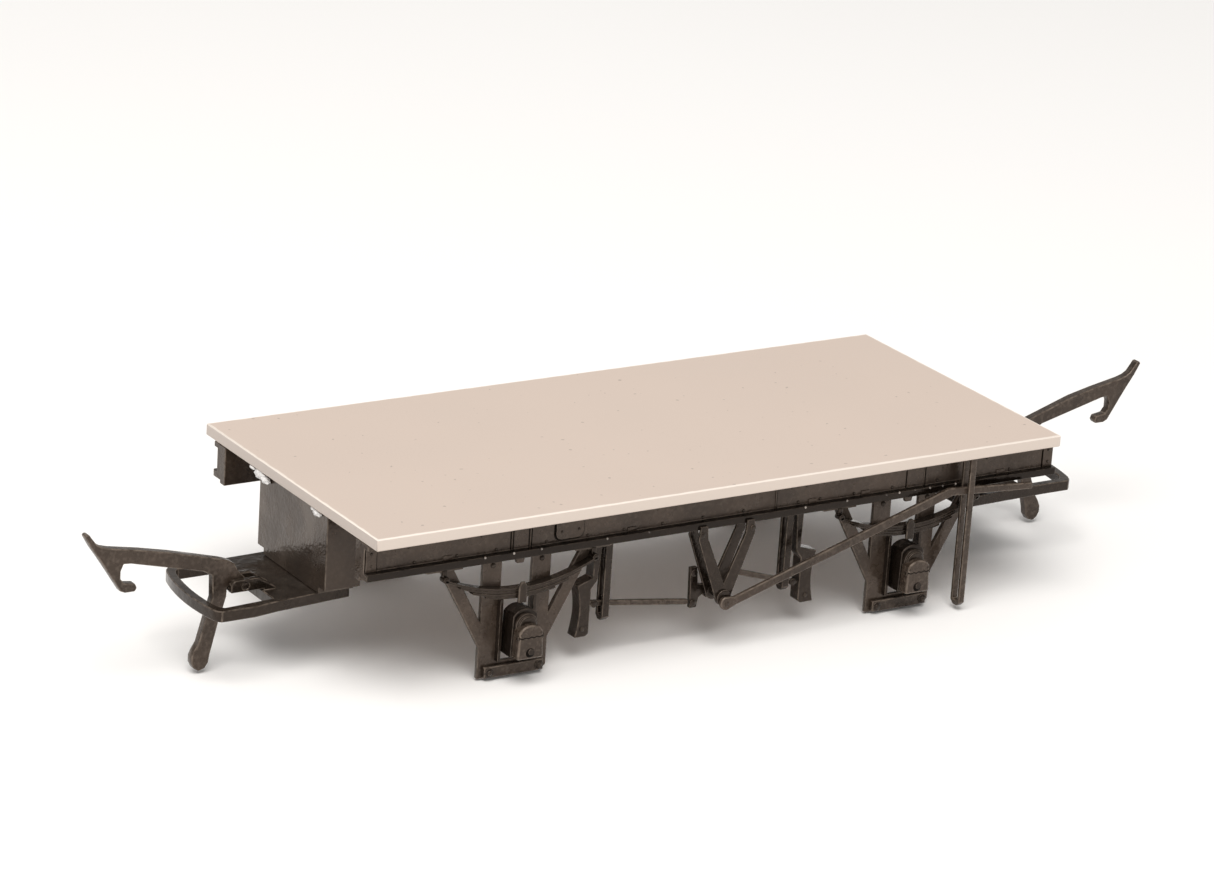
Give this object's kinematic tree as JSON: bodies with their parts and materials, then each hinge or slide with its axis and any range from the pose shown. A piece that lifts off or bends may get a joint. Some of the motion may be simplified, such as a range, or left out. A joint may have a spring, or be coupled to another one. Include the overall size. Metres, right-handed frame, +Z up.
{
  "type": "model railway flat car, floor and underframe",
  "caption": "Model railway flat car: beige floor on a black underframe with springs, axleguards, brake gear and hinged hook couplings",
  "frame": {"origin": "centre of the footprint, on the plane through the feet of the axleguards and the lowest points of the hooks", "axes": "+X runs along the car towards its right-hand coupling, +Y runs across it away from the near side, +Z is up"},
  "size_m": [0.1114, 0.0308, 0.0154],
  "materials": {
    "floor_plastic": "smooth beige moulded plastic with a faint sheen",
    "black_plastic": "warm black injection-moulded plastic, satin to glossy, with soft moulded edges"
  },
  "bodies": {
    "underframe": {"floor_plate": "floor_plastic", "solebar_near": "black_plastic", "brake_lever_near": "black_plastic", "lever_guard_near": "black_plastic", "brake_pivot_near": "black_plastic", "tumbler_near": "black_plastic", "v_hanger_outer_near": "black_plastic", "v_hanger_inner_near": "black_plastic", "axleguard_near_left": "black_plastic", "keep_strip_near_left": "black_plastic", "leaf_spring_near_left": "black_plastic", "spring_buckle_near_left": "black_plastic", "axlebox_near_left": "black_plastic", "axlebox_cover_near_left": "black_plastic", "push_rod_near_left": "black_plastic", "brake_shoe_near_left": "black_plastic", "safety_strap_near_left": "black_plastic", "axleguard_near_right": "black_plastic", "keep_strip_near_right": "black_plastic", "leaf_spring_near_right": "black_plastic", "spring_buckle_near_right": "black_plastic", "axlebox_near_right": "black_plastic", "axlebox_cover_near_right": "black_plastic", "push_rod_near_right": "black_plastic", "brake_shoe_near_right": "black_plastic", "safety_strap_near_right": "black_plastic", "solebar_far": "black_plastic", "brake_lever_far": "black_plastic", "lever_guard_far": "black_plastic", "brake_pivot_far": "black_plastic", "tumbler_far": "black_plastic", "v_hanger_outer_far": "black_plastic", "v_hanger_inner_far": "black_plastic", "axleguard_far_left": "black_plastic", "keep_strip_far_left": "black_plastic", "leaf_spring_far_left": "black_plastic", "spring_buckle_far_left": "black_plastic", "axlebox_far_left": "black_plastic", "axlebox_cover_far_left": "black_plastic", "push_rod_far_left": "black_plastic", "brake_shoe_far_left": "black_plastic", "safety_strap_far_left": "black_plastic", "axleguard_far_right": "black_plastic", "keep_strip_far_right": "black_plastic", "leaf_spring_far_right": "black_plastic", "spring_buckle_far_right": "black_plastic", "axlebox_far_right": "black_plastic", "axlebox_cover_far_right": "black_plastic", "push_rod_far_right": "black_plastic", "brake_shoe_far_right": "black_plastic", "safety_strap_far_right": "black_plastic", "coupling_block_left": "black_plastic", "coupler_body_left": "black_plastic", "hook_pin_left": "black_plastic", "coupling_block_right": "black_plastic", "coupler_body_right": "black_plastic", "hook_pin_right": "black_plastic"},
    "left_hook": {"hook_left": "black_plastic"},
    "right_hook": {"hook_right": "black_plastic"}
  },
  "joints": [
    {"name": "left_hook_hinge", "type": "hinge", "parent": "underframe", "child": "left_hook", "pos_m": [-0.0405, -0.0014, 0.00745], "axis": [0, 1, 0], "range_deg": [0, 12]},
    {"name": "right_hook_hinge", "type": "hinge", "parent": "underframe", "child": "right_hook", "pos_m": [0.0405, 0.0014, 0.00745], "axis": [0, -1, 0], "range_deg": [0, 4]}
  ]
}
